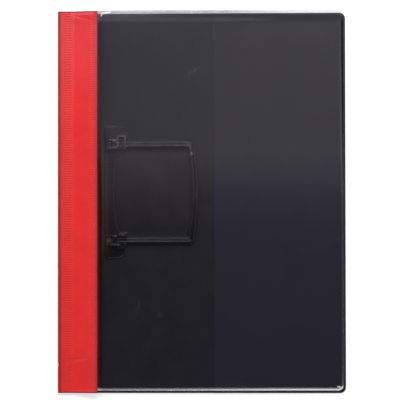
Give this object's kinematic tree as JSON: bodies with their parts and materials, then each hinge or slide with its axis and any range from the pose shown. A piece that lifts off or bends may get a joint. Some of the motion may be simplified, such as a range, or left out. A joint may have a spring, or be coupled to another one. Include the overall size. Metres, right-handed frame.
{
  "type": "clip folder",
  "caption": "Clip folder with black rear cover, clear front sheet, red spine strip, inner pocket and a hinged bail over two posts for punched sheets.",
  "frame": {"origin": "centre of the folder's outline, on the face it lies on", "axes": "+X from the spine to the free edge, +Y along the spine to the head of the page, +Z out of the front sheet"},
  "size_m": [0.241, 0.32, 0.0102],
  "materials": {
    "black_vinyl": "smooth black vinyl sheet with a soft sheen",
    "red_vinyl": "smooth red vinyl with ribbed weld seams",
    "clear_film": "clear glossy vinyl film with a milky welded rim",
    "black_plastic": "moulded black plastic, semi-gloss"
  },
  "bodies": {
    "rear": {"rear_cover": "black_vinyl", "inner_pocket": "clear_film", "spine_strip": "red_vinyl", "clip_base": "black_plastic", "bail_pin_upper": "black_plastic", "bail_pin_lower": "black_plastic"},
    "front": {"spine_flap": "red_vinyl", "front_sheet": "clear_film"},
    "bail": {"clip_bail": "black_plastic"}
  },
  "joints": [
    {"name": "front_cover_hinge", "type": "hinge", "parent": "rear", "child": "front", "pos_m": [-0.10635, 0, 0.0033], "axis": [0, -1, 0], "range_deg": [0, 165]},
    {"name": "bail_hinge", "type": "hinge", "parent": "rear", "child": "bail", "pos_m": [-0.077, 0.008, 0.0059], "axis": [0, -1, 0], "range_deg": [0, 110]}
  ],
  "couplings": [
    {"joint": "bail_hinge", "follows": "front_cover_hinge", "ratio": 0.66}
  ]
}
